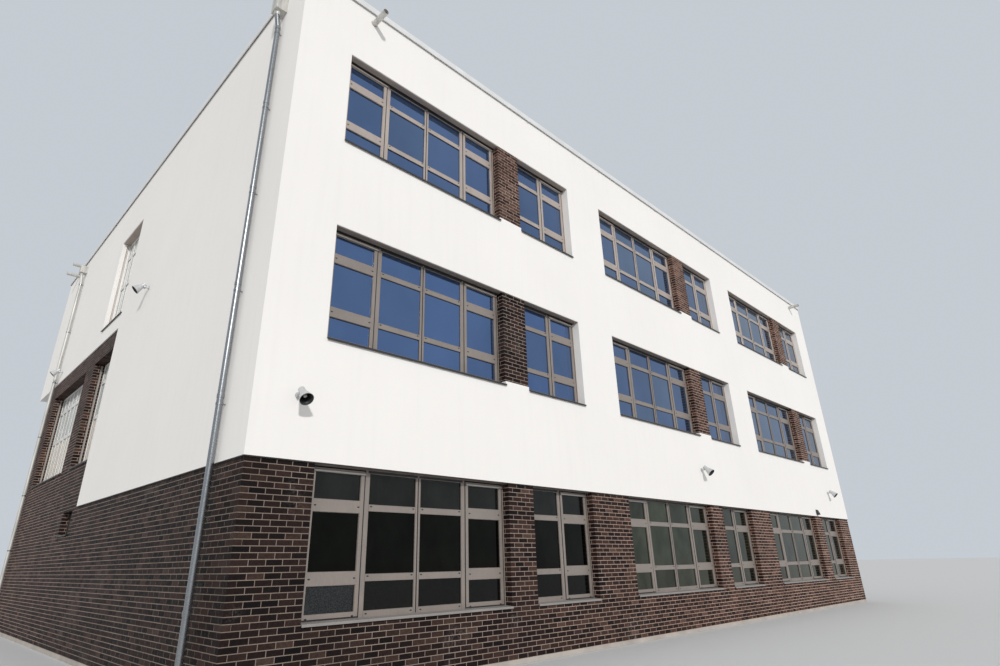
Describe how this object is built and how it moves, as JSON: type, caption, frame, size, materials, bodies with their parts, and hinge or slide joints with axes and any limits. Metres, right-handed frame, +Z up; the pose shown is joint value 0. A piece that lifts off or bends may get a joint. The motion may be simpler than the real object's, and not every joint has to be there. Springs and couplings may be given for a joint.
{
  "type": "school building",
  "caption": "Three-storey flat-roofed school building with a dark brick ground storey, white rendered upper storeys and long window bays.",
  "frame": {"origin": "on the ground in the middle of the footprint of the lower storeys", "axes": "+X right along the window front, +Y from the front to the rear, +Z up"},
  "size_m": [26.58, 19.93, 12.693],
  "materials": {
    "concrete": "rough cast",
    "render": "fine scraped render",
    "roofing": "gravelled membrane",
    "coping_metal": "satin folded sheet",
    "brick": "rough fired clinker",
    "dark_metal": "satin coated",
    "blind": "anodised, ribbed",
    "bronze_frame": "anodised",
    "glass": "clear, reflective",
    "light_metal": "satin folded sheet",
    "white_frame": "satin coated",
    "galvanised": "galvanised",
    "lamp_grey": "satin coated",
    "lamp_lens": "frosted"
  },
  "bodies": {
    "root": {"ground_floor": "concrete", "first_floor": "concrete", "second_floor": "concrete", "overhang_soffit": "render", "roof_slab": "concrete", "roof_covering": "roofing", "roof_coping": "coping_metal", "footing_strip": "concrete", "front_brick_wall": "brick", "left_brick_wall": "brick", "right_brick_wall": "brick", "rear_brick_wall": "brick", "front_render_wall": "render", "left_render_wall": "render", "right_render_wall": "render", "rear_render_wall": "render", "render_drip_rail": "dark_metal", "upper_window_piers": "brick", "blind_boxes": "blind", "ground_window_frames": "bronze_frame", "first_window_frames": "bronze_frame", "second_window_frames": "bronze_frame", "rear_window_frames": "bronze_frame", "ground_window_glass": "glass", "first_window_glass": "glass", "second_window_glass": "glass", "rear_window_glass": "glass", "ground_window_sills": "light_metal", "upper_window_sills": "dark_metal", "rear_window_sills": "dark_metal", "stair_window_frames": "white_frame", "stair_window_glass": "glass", "hall_window_frames": "white_frame", "hall_window_glass": "glass", "side_window_sills": "dark_metal", "niche_panel": "dark_metal", "front_downpipes": "galvanised", "rear_downpipes": "galvanised", "rain_hoppers": "galvanised", "pipe_clamps": "galvanised", "overflow_spouts": "galvanised", "wall_lamps": "lamp_grey", "lamp_bulbs": "lamp_lens", "wall_boxes": "dark_metal"}
  },
  "joints": []
}
